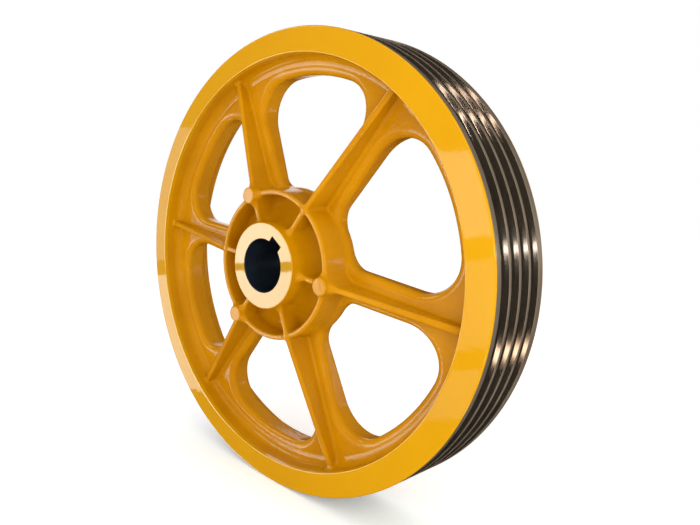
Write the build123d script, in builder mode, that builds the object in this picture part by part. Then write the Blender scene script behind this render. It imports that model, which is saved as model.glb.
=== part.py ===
from build123d import *
import os
from math import cos, radians, sin, tan

# Four-groove wire rope sheave: one iron casting with six ribbed spokes and a keyed hub.
# The wheel turns about Y. Its front faces -Y, +Z is up, and the origin is the middle of the bore.

# Rim and rope grooves
outer_diameter = 640.0
rim_width = 96.0
rim_thickness = 32.0  # the flat rim faces, on the radius
rim_wall_draft = 2.0  # how much the rim thickens towards the web, on the radius
rim_root_bevel = 5.0
groove_count = 4
groove_pitch = 20.0
groove_depth = 8.0
groove_mouth_width = 16.4
groove_angle = 60.0  # between the two flanks of a groove

# Hub, bore and keyway
hub_diameter = 122.0
hub_proud = 19.0  # hub face ahead of the rim face
hub_root_round = 22.0
hub_root_flats = 2  # flats that make up the sweep from the web into the hub
hub_back_bevel = 7.0
hub_edge_chamfer = 1.0
bore_diameter = 75.0
bore_chamfer = 1.0
key_width = 22.0
key_depth = 8.0
key_angle = 50.0  # from +X towards +Z; one spoke lies along it

# Web and its six windows
spoke_count = 6
spoke_ring_width = 44.0
spoke_rim_width = 34.0
web_depth = 31.0  # front of the web behind the rim face
web_hub_thickness = 22.0  # the back of the web slopes, so the web grows thicker towards the rim
web_rim_thickness = 43.0
window_rim_gap = 22.0  # window edge inside the rim wall
window_outer_corner = 52.0
window_inner_corner = 15.0
window_front_round = 11.0
window_back_bevel = 5.5

# Ring, ribs and pads on the front of the web
ring_diameter = 206.0
rib_thickness = 8.0
rib_draft = 1.2  # how much each side of a rib spreads down to its root
rib_root_bevel = 1.8
rib_proud = 6.0  # rib edge ahead of the rim face, from the hub out to the ring
rib_rim_depth = 17.0  # rib edge behind the rim face, where it meets the rim
pad_count = 3
pad_diameter = 26.0
pad_draft = 3.0  # degrees
pad_rise = 6.5  # pad face ahead of the rib edge
overlap = 6.0  # how far a rib runs into the hub and the rim
near = 0.1  # two places closer than this are the same

# Places along the axis
hub_length = rim_width + hub_proud
hub_front = -hub_length / 2
hub_back = hub_length / 2
rim_back = hub_back
rim_front = rim_back - rim_width
rim_middle = (rim_front + rim_back) / 2
web_front = rim_front + web_depth
web_hub_back = web_front + web_hub_thickness
web_rim_back = web_front + web_rim_thickness
web_middle = (web_front + web_hub_back) / 2
rib_front = rim_front - rib_proud
pad_front = rib_front - pad_rise

# Radii and half widths
outer_radius = outer_diameter / 2
groove_bottom_radius = outer_radius - groove_depth
groove_bottom_width = groove_mouth_width - 2 * groove_depth * tan(radians(groove_angle / 2))
rim_bore_radius = outer_radius - rim_thickness
rim_root_radius = rim_bore_radius - rim_wall_draft
hub_radius = hub_diameter / 2
bore_radius = bore_diameter / 2
ring_radius = ring_diameter / 2
window_outer_radius = rim_root_radius - window_rim_gap
rib_half_edge = rib_thickness / 2
rib_half_root = rib_half_edge + rib_draft
window_inner_radius = ring_radius + rib_half_root  # the outside of the ring runs on as the window's wall
rib_half_foot = rib_half_root + rib_root_bevel
rib_end = rim_bore_radius + overlap
rib_slope = (rib_proud + rib_rim_depth) / (rim_bore_radius - ring_radius)
spoke_pitch = 360.0 / spoke_count
spoke_taper = (spoke_ring_width - spoke_rim_width) / 2 / (window_outer_radius - ring_radius)
spoke_centre_half = spoke_ring_width / 2 + spoke_taper * ring_radius

# Two bevels turn the front edge of a window in three equal steps
bevel_turn = 90.0 / 3
window_bevel_width = window_front_round * (1 - tan(radians(bevel_turn / 2)))
window_bevel_depth = window_bevel_width * tan(radians(bevel_turn))


def across(y):
    """The plane across the axis at y, seen from the front: X to the right, Z up."""
    return Plane(origin=(0, y, 0), x_dir=(1, 0, 0), z_dir=(0, -1, 0))


def hub_sweep():
    """Corners of the flats that lead from the hub's wall round into the front of the web."""
    step = 90.0 / (hub_root_flats + 1)
    reach = hub_root_round / cos(radians(step / 2))
    angles = [radians(180 - step * (corner + 0.5)) for corner in range(hub_root_flats + 1)]
    middle_radius = hub_radius + hub_root_round
    middle_y = web_front - hub_root_round
    return [(middle_radius + reach * cos(angle), middle_y + reach * sin(angle)) for angle in angles]


def corners_at(sketch, x, y):
    """The corner of a turned section at this radius and this place along the axis."""
    return sketch.vertices().filter_by(lambda v: abs(v.X - x) < near and abs(v.Y - y) < near)


def window_edges(part, y_from, y_to):
    """Edges round the windows that lie between two places along the axis."""

    def is_one(edge):
        middle = edge @ 0.5
        radius = Vector(middle.X, 0, middle.Z).length
        box = edge.bounding_box()
        in_windows = window_inner_radius - near < radius < window_outer_radius + near
        return in_windows and y_from < box.min.Y and box.max.Y < y_to

    return part.edges().filter_by(is_one)


def is_turned(edge):
    """True for a full circle about the axis."""
    return edge.geom_type == GeomType.CIRCLE and edge.is_closed


# One rib along +X: level from the hub to the ring, then sloping down to the rim
with BuildPart() as rib:
    with BuildSketch(Plane.YZ.offset(hub_radius - overlap)):
        Polygon(
            (web_middle, -rib_half_foot),
            (web_front, -rib_half_foot),
            (web_front - rib_root_bevel, -rib_half_root),
            (rib_front, -rib_half_edge),
            (rib_front, rib_half_edge),
            (web_front - rib_root_bevel, rib_half_root),
            (web_front, rib_half_foot),
            (web_middle, rib_half_foot),
            align=None,
        )
    extrude(amount=rim_bore_radius - hub_radius + 2 * overlap)
    with BuildSketch(Plane.XY):
        Polygon(
            (ring_radius, rib_front),
            (rib_end, rib_front + rib_slope * (rib_end - ring_radius)),
            (rib_end, rib_front),
            align=None,
        )
    extrude(amount=rib_thickness, both=True, mode=Mode.SUBTRACT)

with BuildPart() as sheave:
    # Rim, web and hub as one turned section: radius along X, the axis along Y
    with BuildSketch(Plane.XY) as section:
        with BuildLine():
            Polyline(
                (0, hub_front),
                (hub_radius, hub_front),
                *hub_sweep(),
                (rim_root_radius, web_front),
                (rim_bore_radius, rim_front),
                (outer_radius, rim_front),
                (outer_radius, rim_back),
                (rim_bore_radius, rim_back),
                (rim_root_radius, web_rim_back),
                (hub_radius, web_hub_back),
                (hub_radius, hub_back),
                (0, hub_back),
                close=True,
            )
        make_face()
        chamfer(corners_at(section, hub_radius, web_hub_back), hub_back_bevel)
        for y_web in (web_front, web_rim_back):
            chamfer(corners_at(section, rim_root_radius, y_web), rim_root_bevel)
        for y_hub in (hub_front, hub_back):
            chamfer(corners_at(section, hub_radius, y_hub), hub_edge_chamfer)

        # Rope grooves
        with Locations((0, rim_middle)):
            with GridLocations(0, groove_pitch, 1, groove_count):
                Polygon(
                    (outer_radius, -groove_mouth_width / 2),
                    (groove_bottom_radius, -groove_bottom_width / 2),
                    (groove_bottom_radius, groove_bottom_width / 2),
                    (outer_radius, groove_mouth_width / 2),
                    align=None,
                    mode=Mode.SUBTRACT,
                )
    revolve(axis=Axis.Y)

    # Six windows leave the spokes between them; their edges are rounded over
    with BuildSketch(across(rim_back)) as windows:
        Circle(window_outer_radius)
        Circle(window_inner_radius, mode=Mode.SUBTRACT)
        with PolarLocations(0, spoke_count, start_angle=key_angle):
            Polygon(
                (0, -spoke_centre_half),
                (window_outer_radius, -spoke_rim_width / 2),
                (window_outer_radius, spoke_rim_width / 2),
                (0, spoke_centre_half),
                align=None,
                mode=Mode.SUBTRACT,
            )
        rings = windows.vertices().group_by(lambda v: round(Vector(v.X, v.Y, 0).length, 1))
        fillet(rings[-1], window_outer_corner)
        rings = windows.vertices().group_by(lambda v: round(Vector(v.X, v.Y, 0).length, 1))
        fillet(rings[0], window_inner_corner)
    extrude(amount=rim_width, mode=Mode.SUBTRACT)
    front_face = sheave.faces().filter_by_position(Axis.Y, web_front - near, web_front + near)[0]
    front_edges = window_edges(sheave, web_front - near, web_front + near)
    chamfer(front_edges, window_bevel_width, window_bevel_depth, reference=front_face)
    y_bevel = web_front + window_bevel_depth
    bevel_edges = window_edges(sheave, y_bevel - near, y_bevel + near)
    chamfer(bevel_edges, window_bevel_width - window_bevel_depth)
    back_edges = window_edges(sheave, web_front + window_front_round, rim_back)
    chamfer(back_edges, window_back_bevel)

    # Ring between the hub and the windows
    with BuildSketch(Plane.XY):
        with BuildLine():
            Polyline(
                (ring_radius - rib_half_foot, web_middle),
                (ring_radius + rib_half_root, web_middle),
                (ring_radius + rib_half_root, web_front),
                (ring_radius + rib_half_edge, rib_front),
                (ring_radius - rib_half_edge, rib_front),
                (ring_radius - rib_half_root, web_front - rib_root_bevel),
                (ring_radius - rib_half_foot, web_front),
                close=True,
            )
        make_face()
    revolve(axis=Axis.Y)

    # A rib runs along every spoke and crosses the ring
    for spoke in range(spoke_count):
        add(rib.part, rotation=(0, -key_angle - spoke * spoke_pitch, 0))

    # Round pads where every second rib crosses the ring
    with BuildSketch(across(pad_front)):
        with PolarLocations(ring_radius, pad_count, start_angle=key_angle + spoke_pitch):
            Circle(pad_diameter / 2)
    extrude(amount=pad_front - web_middle, taper=-pad_draft)

    # Bore and keyway
    with BuildSketch(across(hub_back)):
        Circle(bore_radius)
    extrude(amount=hub_length, mode=Mode.SUBTRACT)
    bore_edges = sheave.edges(Select.LAST).filter_by(is_turned)
    chamfer(bore_edges, bore_chamfer)
    with BuildSketch(across(hub_back)):
        with PolarLocations(0, 1, start_angle=key_angle):
            Rectangle(bore_radius + key_depth, key_width, align=(Align.MIN, Align.CENTER))
    extrude(amount=hub_length, mode=Mode.SUBTRACT)

sheave.part.label = "sheave"
os.makedirs("parts", exist_ok=True)
export_step(sheave.part, "parts/sheave.step")
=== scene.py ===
"""Looks of the four-groove wire rope sheave: glossy yellow sand casting, bare turned tread and bore.

The wheel turns about Y, its front faces -Y and +Z is up. The origin is the middle of the bore.
"""

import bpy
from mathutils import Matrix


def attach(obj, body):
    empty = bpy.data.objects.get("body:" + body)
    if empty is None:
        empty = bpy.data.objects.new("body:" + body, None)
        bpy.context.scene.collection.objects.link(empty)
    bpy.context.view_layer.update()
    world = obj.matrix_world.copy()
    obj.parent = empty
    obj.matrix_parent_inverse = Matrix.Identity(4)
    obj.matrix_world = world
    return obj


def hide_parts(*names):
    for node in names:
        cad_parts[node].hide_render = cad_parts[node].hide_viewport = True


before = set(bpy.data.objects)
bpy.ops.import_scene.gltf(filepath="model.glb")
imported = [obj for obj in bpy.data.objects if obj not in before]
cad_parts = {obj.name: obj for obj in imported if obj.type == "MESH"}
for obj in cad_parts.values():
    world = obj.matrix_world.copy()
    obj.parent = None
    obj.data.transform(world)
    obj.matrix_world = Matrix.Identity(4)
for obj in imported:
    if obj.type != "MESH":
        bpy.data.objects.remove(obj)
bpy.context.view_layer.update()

import math

import bpy
import numpy as np
import openvdb
from mathutils import Vector

MM = 0.001

# Rim, hub, bore and keyway in millimetres, as in the part's source
RIM_FRONT, RIM_BACK = -38.5, 57.5
RIM_MIDDLE = (RIM_FRONT + RIM_BACK) / 2
HUB_FRONT, HUB_BACK = -57.5, 57.5
OUTER_R = 320.0
RIM_BORE_R, RIM_ROOT_R = 288.0, 286.0
HUB_R, BORE_R = 61.0, 37.5
KEY_WIDTH, KEY_DEPTH, KEY_ANGLE = 22.0, 8.0, 50.0

# Web and windows: true rounds and fillets where the part's source has flats and bevels.
# Backs and radii differ from the source by up to 2 mm and corners by up to 8 mm, and the fillets are wider.
WEB_FRONT, WEB_HUB_BACK, WEB_RIM_BACK = -7.5, 13.5, 37.5
WEB_MIDDLE = (WEB_FRONT + WEB_HUB_BACK) / 2
SPOKE_COUNT = 6
SPOKE_HALF, SPOKE_TAPER = 20.8, 4.5  # half width at the ring, and what it loses out to the window's end
WINDOW_OUTER_R, WINDOW_INNER_R = 265.5, 106.4
WINDOW_OUTER_CORNER, WINDOW_INNER_CORNER = 60.0, 21.0
WINDOW_FRONT_ROUND, WINDOW_BACK_ROUND = 11.0, 10.5
WINDOW_DRAFT = 0.098  # slope of the walls: the windows widen towards the back
DRAFT_DEPTH, DRAFT_LENGTH = 37.0, 40.0  # from this far behind the web's front, forward over this length
RIM_FILLET = 13.0
HUB_FRONT_FILLET, HUB_BACK_FILLET = 31.0, 12.0

# Ring, ribs and pads, slimmer towards their edges than in the source; the pads stand 1.5 mm higher
RING_R, RIB_HALF, RIB_DRAFT = 103.0, 3.6, 1.6
RIB_FRONT, RIB_RIM_FRONT = -44.5, -21.5
RIB_EDGE_ROUND, CROSSING_FILLET = 2.6, 5.0
FLOOR_FILLET, HUB_DISH_FILLET = 4.5, 10.0  # at the foot of the ribs, outside and inside the ring
FILLET_BLEND = 12.0  # across the ring, from one fillet to the other
PAD_COUNT, PAD_ANGLE = 3, KEY_ANGLE + 60.0
PAD_FRONT, PAD_R, PAD_PLACE_R = -52.5, 11.8, RING_R + 1.5
PAD_DRAFT, PAD_EDGE_ROUND, PAD_FILLET = 0.05, 1.2, 9.0

# The casting runs a little under the turned faces, which cover its cut ends
RIM_TUCK, HUB_TUCK, HUB_WALL_TUCK = 1.2, 1.2, 0.25
CASTING_OUTER_R, CASTING_INNER_R = 293.0, 52.0

# Turned rim and its grooves
GROOVE_COUNT, GROOVE_PITCH, GROOVE_DEPTH, GROOVE_R = 4, 20.0, 8.0, 6.89
FLANK_ANGLE = 22.5  # between a groove's flank and the radius
RIM_EDGE_ROUND, BORE_FRONT_ROUND, BORE_BACK_ROUND = 1.5, 1.0, 1.7
RIM_SEGMENTS = 540

# Turned hub
HUB_CHAMFER = 1.0
HUB_SLEEVE_FRONT, HUB_SLEEVE_BACK = 30.0, 20.0  # how far its outside wall runs down from each end

# Mesh of the casting
GRID_LOW, GRID_HIGH = (-298, -52, -298), (298, 60, 298)
FINE_STEP, QUICK_STEP = 1.6, 2.6
CASTING_FACES = 195000


# ---------------------------------------------------------------- distance fields
def meet(a, b, r):
    """Both bodies' common part, with the edge between them rounded to r."""
    corner = np.hypot(np.maximum(r + a, 0), np.maximum(r + b, 0))
    return np.minimum(-r, np.maximum(a, b)) + corner


def join(a, b, r):
    """Both bodies together, with a fillet of r in the corner between them."""
    corner = np.hypot(np.maximum(r - a, 0), np.maximum(r - b, 0))
    return np.maximum(r, np.minimum(a, b)) - corner


def sector(x, z, count, angle):
    """Distance along and across the nearest of count rays, the first at this angle."""
    pitch = 2 * math.pi / count
    turn = np.arctan2(z, x) - math.radians(angle)
    turn = turn - np.round(turn / pitch) * pitch
    r = np.hypot(x, z)
    return r * np.cos(turn), r * np.sin(turn)


def windows_field(y, r, u, v):
    """Six windows: u runs along the nearest spoke and v across it."""
    half = SPOKE_HALF - SPOKE_TAPER * (u - RING_R) / (WINDOW_OUTER_R - RING_R)
    window = meet(half - v, r - WINDOW_OUTER_R, WINDOW_OUTER_CORNER)
    window = meet(window, WINDOW_INNER_R - r, WINDOW_INNER_CORNER)
    return window + WINDOW_DRAFT * np.clip(WEB_FRONT + DRAFT_DEPTH - y, 0, DRAFT_LENGTH)


def web_field(y, r, u, v):
    """Web with a sloping back and rounded windows, run into the rim wall and the hub."""
    slope = (WEB_RIM_BACK - WEB_HUB_BACK) / (RIM_ROOT_R - HUB_R)
    back = (y - WEB_HUB_BACK - slope * (r - HUB_R)) / math.hypot(1, slope)
    web = meet(WEB_FRONT - y, -windows_field(y, r, u, v), WINDOW_FRONT_ROUND)
    web = meet(web, back, WINDOW_BACK_ROUND)

    draft = (RIM_BORE_R - RIM_ROOT_R) / (WEB_FRONT - RIM_FRONT)
    off_web = np.maximum(WEB_FRONT - y, y - WEB_RIM_BACK)
    wall = np.maximum(RIM_ROOT_R + draft * off_web, RIM_ROOT_R) - r
    rim = np.maximum(wall, np.abs(y - RIM_MIDDLE) - (RIM_BACK - RIM_FRONT) / 2 + RIM_TUCK)
    web = join(web, rim, RIM_FILLET)
    hub = np.maximum(r - HUB_R + HUB_WALL_TUCK, np.abs(y) - HUB_BACK + HUB_TUCK)
    return join(web, hub, np.where(y < WEB_MIDDLE, HUB_FRONT_FILLET, HUB_BACK_FILLET))


def ribs_field(x, y, z, r, u, v):
    """Ring, radial ribs that slope down to the rim, and pads on every second crossing."""
    spread = RIB_HALF + RIB_DRAFT * (y - RIB_FRONT) / (WEB_FRONT - RIB_FRONT)
    ring = meet(np.abs(r - RING_R) - spread, RIB_FRONT - y, RIB_EDGE_ROUND)
    fall = (RIB_RIM_FRONT - RIB_FRONT) / (RIM_BORE_R - RING_R)
    edge = RIB_FRONT + fall * np.maximum(u - RING_R, 0)
    rib = meet(v - spread, edge - y, RIB_EDGE_ROUND)
    ribs = join(ring, rib, CROSSING_FILLET)
    pad_u, pad_v = sector(x, z, PAD_COUNT, PAD_ANGLE)
    pad = np.hypot(pad_u - PAD_PLACE_R, pad_v) - PAD_R - PAD_DRAFT * (y - PAD_FRONT)
    pad = meet(pad, PAD_FRONT - y, PAD_EDGE_ROUND)
    return np.maximum(join(ribs, pad, PAD_FILLET), y - WEB_MIDDLE)


def casting(x, y, z):
    """Signed distance in millimetres to the painted casting, inside its rim."""
    r = np.hypot(x, z)
    u, v = sector(x, z, SPOKE_COUNT, KEY_ANGLE)
    v = np.abs(v)
    web = web_field(y, r, u, v)
    ribs = ribs_field(x, y, z, r, u, v)
    inside = np.clip((RING_R + FILLET_BLEND / 2 - r) / FILLET_BLEND, 0, 1)
    whole = join(web, ribs, FLOOR_FILLET + (HUB_DISH_FILLET - FLOOR_FILLET) * inside)
    return np.maximum(np.maximum(whole, r - CASTING_OUTER_R), CASTING_INNER_R - r)


def grid_mesh(name, field, low, high, step, faces_wanted):
    """Object from the surface of a distance field, thinned to about this many triangles."""
    axes = [np.arange(a, b + step, step, dtype=np.float32) for a, b in zip(low, high)]
    band = 3 * step
    d = field(axes[0][:, None, None], axes[1][None, :, None], axes[2][None, None, :]).astype(np.float32)
    d = np.ascontiguousarray(np.clip(d, -band, band))
    grid = openvdb.FloatGrid(band)
    grid.copyFromArray(d)
    points, quads = grid.convertToQuads(0.0)
    points = points * step + np.array([a[0] for a in axes], dtype=np.float32)
    mesh = bpy.data.meshes.new(name)
    mesh.vertices.add(len(points))
    mesh.vertices.foreach_set("co", (points * MM).astype(np.float32).ravel())
    mesh.loops.add(len(quads) * 4)
    mesh.polygons.add(len(quads))
    mesh.loops.foreach_set("vertex_index", quads.astype(np.int32).ravel())
    mesh.polygons.foreach_set("loop_start", np.arange(0, len(quads) * 4, 4, dtype=np.int32))
    mesh.update(calc_edges=True)
    obj = bpy.data.objects.new(name, mesh)
    bpy.context.scene.collection.objects.link(obj)
    if len(quads) * 2 > faces_wanted:
        thin = obj.modifiers.new("thin", "DECIMATE")
        thin.ratio = faces_wanted / (len(quads) * 2)
        graph = bpy.context.evaluated_depsgraph_get()
        reduced = bpy.data.meshes.new_from_object(obj.evaluated_get(graph))
        obj.modifiers.clear()
        obj.data = reduced
        bpy.data.meshes.remove(mesh)
        reduced.name = name
    return obj


def gradient(field, p, h):
    """Field's slope and value at points p, by differences over h."""
    g = np.empty_like(p)
    for k in range(3):
        step = np.zeros(3)
        step[k] = h
        a, b = p + step, p - step
        g[:, k] = (field(a[:, 0], a[:, 1], a[:, 2]) - field(b[:, 0], b[:, 1], b[:, 2])) / (2 * h)
    return g, field(p[:, 0], p[:, 1], p[:, 2])


def settle(obj, field):
    """Moves the vertices onto the field's surface and gives them its normals."""
    rounds, reach, probe, normal_probe, least_slope = 2, 0.6, 0.3, 0.7, 0.25
    mesh = obj.data
    co = np.empty(len(mesh.vertices) * 3, dtype=np.float32)
    mesh.vertices.foreach_get("co", co)
    p = co.reshape(-1, 3).astype(np.float64) / MM
    for _ in range(rounds):
        g, d = gradient(field, p, probe)
        p -= g * np.clip(d, -reach, reach)[:, None] / np.maximum((g * g).sum(1), least_slope)[:, None]
    g, _ = gradient(field, p, normal_probe)
    g /= np.maximum(np.linalg.norm(g, axis=1), 1e-6)[:, None]
    mesh.vertices.foreach_set("co", (p * MM).astype(np.float32).ravel())
    mesh.update()
    for poly in mesh.polygons:
        poly.use_smooth = True
    mesh.normals_split_custom_set_from_vertices(g.tolist())


# ---------------------------------------------------------------- turned pieces
def arc(cx, cy, r, start, end, count):
    """Points of an arc from one angle to another, in degrees."""
    turns = [math.radians(start + (end - start) * k / count) for k in range(count + 1)]
    return [(cx + r * math.cos(t), cy + r * math.sin(t)) for t in turns]


def tread_profile():
    """Rim section as (radius, y, slot) from the front bore edge round the tread to the back bore edge."""
    paint, bare, land = 0, 1, 2
    support = 3.0  # points this far from the edges keep the rim faces flat
    lip = [(-0.6, 6.0), (-0.3, 2.2)]  # strip in the rim's bore: radius beyond it, depth behind the face
    edge_r, under = OUTER_R - RIM_EDGE_ROUND, 0.2
    faces = (RIM_BORE_R + support, OUTER_R - support)
    land_edge = 1.8

    front = [(RIM_BORE_R + grow, RIM_FRONT + deep) for grow, deep in lip]
    front_r = RIM_BORE_R + BORE_FRONT_ROUND - under
    front += arc(front_r, RIM_FRONT + BORE_FRONT_ROUND, BORE_FRONT_ROUND, 180, 270, 5)
    front += [(r, RIM_FRONT) for r in (*faces, edge_r)]
    front += arc(edge_r, RIM_FRONT + RIM_EDGE_ROUND, RIM_EDGE_ROUND, 270, 345, 4)

    back = arc(edge_r, RIM_BACK - RIM_EDGE_ROUND, RIM_EDGE_ROUND, 15, 90, 4)
    back += [(r, RIM_BACK) for r in reversed(faces)]
    back_r = RIM_BORE_R + BORE_BACK_ROUND - under
    back += arc(back_r, RIM_BACK - BORE_BACK_ROUND, BORE_BACK_ROUND, 90, 180, 5)
    back += [(RIM_BORE_R + grow, RIM_BACK - deep) for grow, deep in reversed(lip)]

    # Half a groove's mouth as (depth, distance from its middle, slot): a rounded lip, then the flank
    flank = math.radians(FLANK_ANGLE)
    centre_r = OUTER_R - GROOVE_DEPTH + GROOVE_R
    flank_r = OUTER_R - GROOVE_DEPTH + GROOVE_R * (1 - math.sin(flank))
    mouth = GROOVE_R * math.cos(flank) + (OUTER_R - flank_r) * math.tan(flank)
    lip_half, flank_top = mouth + 0.8, 1.2
    side = [(0, lip_half, land), (0.12, lip_half - 0.5, land), (0.45, lip_half - 0.95, land)]
    side.append((flank_top, mouth - flank_top * math.tan(flank), bare))

    pts = [(*point, paint) for point in front]
    pts.append((OUTER_R, RIM_FRONT + land_edge, land))
    for k in range(GROOVE_COUNT):
        y0 = RIM_MIDDLE + (k - (GROOVE_COUNT - 1) / 2) * GROOVE_PITCH
        bottom = arc(centre_r, y0, GROOVE_R, 270 - FLANK_ANGLE, 90 + FLANK_ANGLE, 14)
        pts += [(OUTER_R - deep, y0 - off, slot) for deep, off, slot in side]
        pts += [(*point, bare) for point in bottom]
        pts += [(OUTER_R - deep, y0 + off, slot) for deep, off, slot in reversed(side)]
    pts.append((OUTER_R, RIM_BACK - land_edge, land))
    pts += [(*point, paint) for point in back]
    return pts


def lathe(name, profile, segments, angle=28):
    """Turns (radius, y, slot) points about the Y axis into an object."""
    turn = np.linspace(0, 2 * math.pi, segments, endpoint=False)
    rad = np.array([p[0] for p in profile])
    y = np.array([p[1] for p in profile])
    co = np.empty((segments, len(profile), 3))
    co[:, :, 0] = np.cos(turn)[:, None] * rad
    co[:, :, 1] = y
    co[:, :, 2] = np.sin(turn)[:, None] * rad
    n = len(profile)
    faces, slots = [], []
    for i in range(segments):
        a, b = i * n, ((i + 1) % segments) * n
        for k in range(n - 1):
            faces.append((a + k, a + k + 1, b + k + 1, b + k))
            slots.append(min(profile[k][2], profile[k + 1][2]))
    return made(name, co.reshape(-1, 3) * MM, faces, slots, angle)


def made(name, verts, faces, slots, angle):
    """Object from vertices and faces, smooth apart from edges sharper than angle."""
    mesh = bpy.data.meshes.new(name)
    mesh.from_pydata(verts.tolist(), [], faces)
    mesh.polygons.foreach_set("material_index", slots)
    mesh.shade_smooth()
    mesh.set_sharp_from_angle(angle=math.radians(angle))
    mesh.update()
    obj = bpy.data.objects.new(name, mesh)
    bpy.context.scene.collection.objects.link(obj)
    return obj


def keyed_outline():
    """The bore with its keyway as (angle, radius) points, from one side of the key round to the same side."""
    key_points, bore_points = 10, 168
    half = math.asin(KEY_WIDTH / 2 / BORE_R)
    key = math.radians(KEY_ANGLE)
    depth = BORE_R + KEY_DEPTH
    side = math.atan2(KEY_WIDTH / 2, depth)
    turns = [key + side * (-1 + 2 * k / key_points) for k in range(key_points + 1)]
    outline = [(t, depth / math.cos(t - key)) for t in turns]
    span = 2 * math.pi - 2 * half
    return outline + [(key + half + span * k / bore_points, BORE_R) for k in range(bore_points + 1)]


def hub_piece():
    """Machined hub: both end faces, edges, the bore and its keyway."""
    wall, hole, face = 0, 1, 2
    support = 1.6  # points this far from the edges keep the end faces flat
    edge, soften = HUB_CHAMFER, 0.3
    bore = keyed_outline()

    # Each end as (depth behind its face, outside radius) and (depth, distance beyond the bore)
    rim_rows = [(edge, HUB_R), (soften, HUB_R - soften), (0, HUB_R - edge), (0, HUB_R - support)]
    bore_rows = [(0, support), (0, edge), (edge, 0)]

    def circle(level, radius):
        return [(radius * math.cos(t), level, radius * math.sin(t)) for t, _ in bore]

    def keyed(level, grow):
        return [((r + grow) * math.cos(t), level, (r + grow) * math.sin(t)) for t, r in bore]

    rings = [circle(HUB_FRONT + HUB_SLEEVE_FRONT, HUB_R)]
    rings += [circle(HUB_FRONT + deep, radius) for deep, radius in rim_rows]
    rings += [keyed(HUB_FRONT + deep, grow) for deep, grow in bore_rows]
    rings += [keyed(HUB_BACK - deep, grow) for deep, grow in reversed(bore_rows)]
    rings += [circle(HUB_BACK - deep, radius) for deep, radius in reversed(rim_rows)]
    rings.append(circle(HUB_BACK - HUB_SLEEVE_BACK, HUB_R))

    n = len(bore)
    levels = [wall] * 3 + [face] * 3 + [hole] * 3 + [face] * 3 + [wall] * 3
    faces, slots = [], []
    for k, slot in enumerate(levels):
        for i in range(n):
            j = (i + 1) % n
            faces.append((k * n + i, k * n + j, (k + 1) * n + j, (k + 1) * n + i))
            slots.append(slot)
    return made("hub_faces", np.array(rings).reshape(-1, 3) * MM, faces, slots, 25)


# ---------------------------------------------------------------- materials
def shader(name):
    """New material with its node tree and its Principled shader."""
    material = bpy.data.materials.new(name)
    material.use_nodes = True
    tree = material.node_tree
    return material, tree, tree.nodes["Principled BSDF"]


def add(tree, kind, **values):
    """Node with its settings and, where a name begins with in_, its inputs' values."""
    node = tree.nodes.new(kind)
    for key, value in values.items():
        if key.startswith("in_"):
            node.inputs[key[3:].replace("_", " ")].default_value = value
        else:
            setattr(node, key, value)
    return node


def link(tree, a, b):
    """Wire from output a to input b."""
    tree.links.new(a, b)


def ramp(tree, source, low, high, start=0.3, end=0.7):
    """Colour that goes from low to high as the source goes from start to end."""
    node = add(tree, "ShaderNodeValToRGB")
    for element, place, colour in zip(node.color_ramp.elements, (start, end), (low, high)):
        element.position = place
        element.color = (*colour, 1)
    link(tree, source, node.inputs["Fac"])
    return node.outputs["Color"]


def grey(value):
    """The same value in all three channels."""
    return (value, value, value)


def paint_material():
    """Thick gloss paint on the sand casting, with orange peel."""
    material, tree, bsdf = shader("gloss_paint")
    place = add(tree, "ShaderNodeTexCoord").outputs["Object"]
    fine = add(tree, "ShaderNodeTexNoise", in_Scale=300.0, in_Detail=3.0, in_Roughness=0.55)
    wave = add(tree, "ShaderNodeTexNoise", in_Scale=105.0, in_Detail=2.0, in_Roughness=0.5)
    patch = add(tree, "ShaderNodeTexNoise", in_Scale=9.0, in_Detail=3.0, in_Roughness=0.6)
    for node in (fine, wave, patch):
        link(tree, place, node.inputs["Vector"])
    tone = ramp(tree, patch.outputs["Fac"], (0.425, 0.165, 0.0003), (0.525, 0.222, 0.0005))
    link(tree, tone, bsdf.inputs["Base Color"])
    rough = ramp(tree, wave.outputs["Fac"], grey(0.25), grey(0.38), end=0.75)
    link(tree, rough, bsdf.inputs["Roughness"])
    bsdf.inputs["Specular IOR Level"].default_value = 0.06
    bsdf.inputs["Coat Weight"].default_value = 0.42
    bsdf.inputs["Coat Roughness"].default_value = 0.07
    low = add(tree, "ShaderNodeBump", in_Strength=0.5, in_Distance=0.0008)
    high = add(tree, "ShaderNodeBump", in_Strength=0.7, in_Distance=0.0003)
    link(tree, wave.outputs["Fac"], low.inputs["Height"])
    link(tree, fine.outputs["Fac"], high.inputs["Height"])
    link(tree, low.outputs["Normal"], high.inputs["Normal"])
    link(tree, high.outputs["Normal"], bsdf.inputs["Normal"])
    link(tree, high.outputs["Normal"], bsdf.inputs["Coat Normal"])
    return material


def face_material(name, light, dark):
    """Paint over a turned face: smoother, with a slight flow in it."""
    material, tree, bsdf = shader(name)
    place = add(tree, "ShaderNodeTexCoord").outputs["Object"]
    wave = add(tree, "ShaderNodeTexNoise", in_Scale=28.0, in_Detail=2.0, in_Roughness=0.5)
    patch = add(tree, "ShaderNodeTexNoise", in_Scale=9.0, in_Detail=3.0, in_Roughness=0.6)
    for node in (wave, patch):
        link(tree, place, node.inputs["Vector"])
    link(tree, ramp(tree, patch.outputs["Fac"], dark, light), bsdf.inputs["Base Color"])
    bsdf.inputs["Roughness"].default_value = 0.4
    bsdf.inputs["Specular IOR Level"].default_value = 0.05
    bsdf.inputs["Coat Weight"].default_value = 1.0
    bsdf.inputs["Coat Roughness"].default_value = 0.04
    low = add(tree, "ShaderNodeBump", in_Strength=0.16, in_Distance=0.001)
    link(tree, wave.outputs["Fac"], low.inputs["Height"])
    link(tree, low.outputs["Normal"], bsdf.inputs["Normal"])
    link(tree, low.outputs["Normal"], bsdf.inputs["Coat Normal"])
    return material


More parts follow.
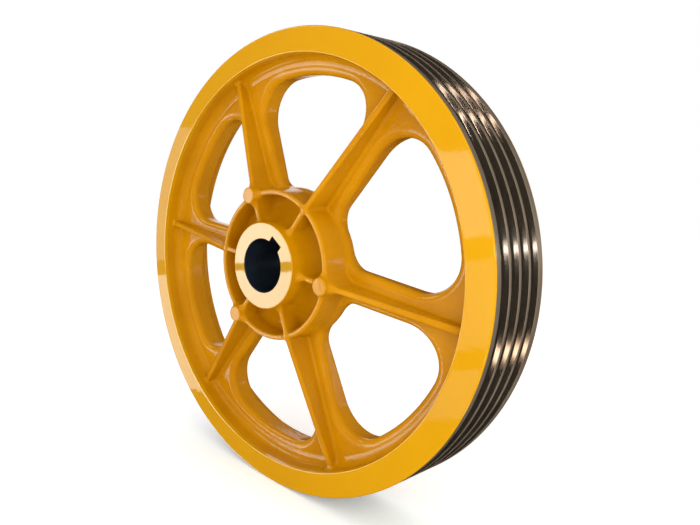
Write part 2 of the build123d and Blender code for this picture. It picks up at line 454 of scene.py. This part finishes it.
def bare_material(name, light, dark, rough, metal):
    """Turned bare iron with tool marks round the axis, which a stretched noise makes."""
    tool_stretch, rough_range = 12.0, 0.03
    material, tree, bsdf = shader(name)
    place = add(tree, "ShaderNodeTexCoord").outputs["Object"]
    split = add(tree, "ShaderNodeSeparateXYZ")
    link(tree, place, split.inputs["Vector"])
    marks = add(tree, "ShaderNodeCombineXYZ")
    stretch = add(tree, "ShaderNodeMath", operation="MULTIPLY")
    stretch.inputs[1].default_value = tool_stretch
    link(tree, split.outputs["Y"], stretch.inputs[0])
    link(tree, stretch.outputs[0], marks.inputs["Y"])
    link(tree, split.outputs["X"], marks.inputs["X"])
    link(tree, split.outputs["Z"], marks.inputs["Z"])
    tool = add(tree, "ShaderNodeTexNoise", in_Scale=160.0, in_Detail=2.0, in_Roughness=0.6)
    patch = add(tree, "ShaderNodeTexNoise", in_Scale=22.0, in_Detail=4.0, in_Roughness=0.65)
    link(tree, marks.outputs["Vector"], tool.inputs["Vector"])
    link(tree, place, patch.inputs["Vector"])
    link(tree, ramp(tree, patch.outputs["Fac"], dark, light), bsdf.inputs["Base Color"])
    bsdf.inputs["Metallic"].default_value = metal
    level = ramp(tree, patch.outputs["Fac"], grey(rough + rough_range), grey(rough - rough_range))
    link(tree, level, bsdf.inputs["Roughness"])
    bump = add(tree, "ShaderNodeBump", in_Strength=0.08, in_Distance=0.0001)
    link(tree, tool.outputs["Fac"], bump.inputs["Height"])
    link(tree, bump.outputs["Normal"], bsdf.inputs["Normal"])
    return material


# ---------------------------------------------------------------- pieces
grid_step = FINE_STEP
body = grid_mesh("casting", casting, GRID_LOW, GRID_HIGH, grid_step, CASTING_FACES)
settle(body, casting)
gloss_paint = paint_material()
body.data.materials.append(gloss_paint)

rim = lathe("rim_tread", tread_profile(), RIM_SEGMENTS)
rim_paint = face_material("face_paint", (0.555, 0.265, 0.0006), (0.525, 0.245, 0.0005))
bare = bare_material("turned_iron", (0.44, 0.345, 0.275), (0.27, 0.195, 0.145), 0.105, 0.94)
lands = bare_material("worn_lands", (0.40, 0.31, 0.235), (0.29, 0.22, 0.165), 0.38, 0.66)
for material in (rim_paint, bare, lands):
    rim.data.materials.append(material)

hub = hub_piece()
# The bore's near-black, navy-tinted colour is painted shade for the inside of the hole, not the turned
# steel's own colour
bore_shade_paint = bare_material("bore_painted_shade", (0.022, 0.036, 0.055), (0.01, 0.015, 0.028), 0.45, 0.5)
# The hub's end faces carry the rim faces' paint made darker: painted shade, not a different paint
shaded_hub_paint = face_material("shaded_hub_paint", (0.46, 0.226, 0.001), (0.42, 0.2, 0.0008))
for material in (gloss_paint, bore_shade_paint, shaded_hub_paint):
    hub.data.materials.append(material)

for piece in (body, rim, hub):
    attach(piece, "root")
    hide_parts("sheave")

# ---------------------------------------------------------------- studio
scene = bpy.context.scene
scene.view_settings.view_transform = "Standard"
world = bpy.data.worlds.new("studio")
scene.world = world
world.use_nodes = True
world.node_tree.nodes["Background"].inputs["Color"].default_value = (1, 1, 1, 1)
world.node_tree.nodes["Background"].inputs["Strength"].default_value = 1.0
world.cycles_visibility.glossy = False

FLOOR_HALF, FLOOR_GAP = 6.0, 0.0005  # in metres; the wheel stands this little above the floor
floor_mesh = bpy.data.meshes.new("floor")
floor_corners = [(x * FLOOR_HALF, y * FLOOR_HALF, 0) for x, y in ((-1, -1), (1, -1), (1, 1), (-1, 1))]
floor_mesh.from_pydata(floor_corners, [], [(0, 1, 2, 3)])
floor = bpy.data.objects.new("floor", floor_mesh)
floor.location = (0, 0, -OUTER_R * MM - FLOOR_GAP)
scene.collection.objects.link(floor)
floor_paint, _, floor_bsdf = shader("floor_white")
floor_bsdf.inputs["Base Color"].default_value = (0.92, 0.92, 0.92, 1)
floor_bsdf.inputs["Roughness"].default_value = 0.8
floor_bsdf.inputs["Emission Color"].default_value = (1, 1, 1, 1)
floor_bsdf.inputs["Emission Strength"].default_value = 0.2
floor_mesh.materials.append(floor_paint)
floor.visible_glossy = False


def panel(name, place, aim, size, radiance, colour=(1, 1, 1)):
    """Soft rectangular light of this radiance, of which only the reflection shows."""
    data = bpy.data.lights.new(name, "AREA")
    data.shape = "RECTANGLE"
    data.size, data.size_y = size
    data.energy = radiance * math.pi * size[0] * size[1]
    data.color = colour
    light = bpy.data.objects.new(name, data)
    light.location = place
    light.rotation_euler = (Vector(aim) - Vector(place)).to_track_quat("-Z", "Y").to_euler()
    light.visible_camera = False
    light.visible_diffuse = False
    scene.collection.objects.link(light)
    return light


def soft_light(name, place, aim, size, radiance, colour):
    """Panel that lights the paint without showing in any reflection."""
    light = panel(name, place, aim, size, radiance, colour)
    light.visible_diffuse = True
    light.visible_glossy = False


def pane(name, side, width, low, high, radiance):
    """Upright pane at the left front, beside the middle by this much, between two heights."""
    distance, pale = 3.0, (0.86, 1.0, 0.95)
    facing = Vector((-math.sqrt(0.5), -math.sqrt(0.5), 0))
    along = Vector((math.sqrt(0.5), -math.sqrt(0.5), 0))
    place = facing * distance + along * side + Vector((0, 0, (low + high) / 2))
    panel(name, place, place - facing, (width, high - low), radiance, pale)


def lamp(name, azimuth, elevation, distance, size, radiance, colour=(1, 1, 1)):
    """Panel that the wheel sees at this azimuth and elevation in degrees, facing it."""
    a, e = math.radians(azimuth), math.radians(elevation)
    place = Vector((math.cos(a) * math.cos(e), math.sin(a) * math.cos(e), math.sin(e))) * distance
    panel(name, place, (0, 0, 0), size, radiance, colour)


# Panes of the windows that the flat faces mirror: side, width, foot, head, radiance
pane("pane_left_low", -0.85, 0.7, -1.22, -0.42, 3.0)
pane("pane_left_high", -0.85, 0.7, -0.33, 0.56, 1.2)
pane("pane_middle_low", -0.1, 0.8, -1.22, -0.385, 7.5)
pane("pane_middle_high", -0.1, 0.8, -0.33, 0.40, 8.0)
pane("pane_right_floor", 1.05, 1.0, -1.34, -1.0, 0.8)
pane("pane_right_low", 1.05, 1.0, -0.86, -0.29, 0.9)
pane("pane_right_high", 1.05, 1.0, -0.16, 0.38, 1.9)

# Light on the paint itself: place, aim, size, radiance, colour
soft_light("key", (0.78, -0.4, 0.22), (0.15, 0, 0.05), (0.45, 0.45), 5.2, (0.96, 1, 0.8))
soft_light("fill", (0.2, -2.2, 0.3), (0, 0, 0), (1.6, 1.2), 2.6, (1, 0.98, 0.88))

# Glints in the grooves and sheen on the casting: azimuth, elevation, distance, size, radiance, colour
lamp("ceiling", -100, 62, 3.0, (1.2, 0.5), 2.5)
lamp("strip_front", -62, 2.5, 2.6, (0.7, 0.05), 14, (0.9, 0.96, 1))
lamp("strip_side", 0, 4, 2.6, (1.6, 0.05), 4)
lamp("strip_back", 50, 3, 2.6, (0.9, 0.05), 11, (0.9, 0.96, 1))
lamp("side_column", 2, 8, 2.6, (0.7, 4.4), 1.2, (1, 0.86, 0.72))
lamp("high_left", -148, 39, 2.4, (1.2, 0.5), 5, (0.95, 1, 0.9))
lamp("low_left", -162, -42, 2.2, (1.2, 0.5), 5, (0.95, 1, 0.9))
lamp("back_soft", 150, 18, 3.0, (2.0, 1.4), 1.5)
lamp("low_warm", -8, -36, 2.0, (1.0, 0.07), 6, (1, 0.86, 0.7))
lamp("low_floor", -2, -47, 2.0, (1.3, 0.16), 4.5, (1, 0.88, 0.74))
lamp("low_front", -60, -24, 2.0, (0.5, 0.12), 6, (1, 0.86, 0.72))
lamp("high_front", -74, 43.5, 2.2, (0.5, 0.07), 5.5, (1, 0.92, 0.84))
lamp("high_corner", -66, 36.5, 2.2, (0.5, 0.05), 9, (1, 0.92, 0.84))
lamp("high_side", -5, 50, 2.2, (1.6, 0.12), 0.8, (1, 0.9, 0.82))


# ---------------------------------------------------------------- camera
# Seen from the photograph's place; the photograph is an off-centre crop, hence the shift
camera_data = bpy.data.cameras.new("camera")
camera = bpy.data.objects.new("camera", camera_data)
scene.collection.objects.link(camera)
scene.camera = camera
camera.location = (0.60375, -0.58931, 0.09454)
camera.rotation_euler = [math.radians(a) for a in (84.0694, 0.4261, 54.7507)]
camera_data.sensor_width = 36.0
camera_data.sensor_fit = "HORIZONTAL"
camera_data.lens = 29.5187
camera_data.shift_x = 0.2143
camera_data.shift_y = -0.0064
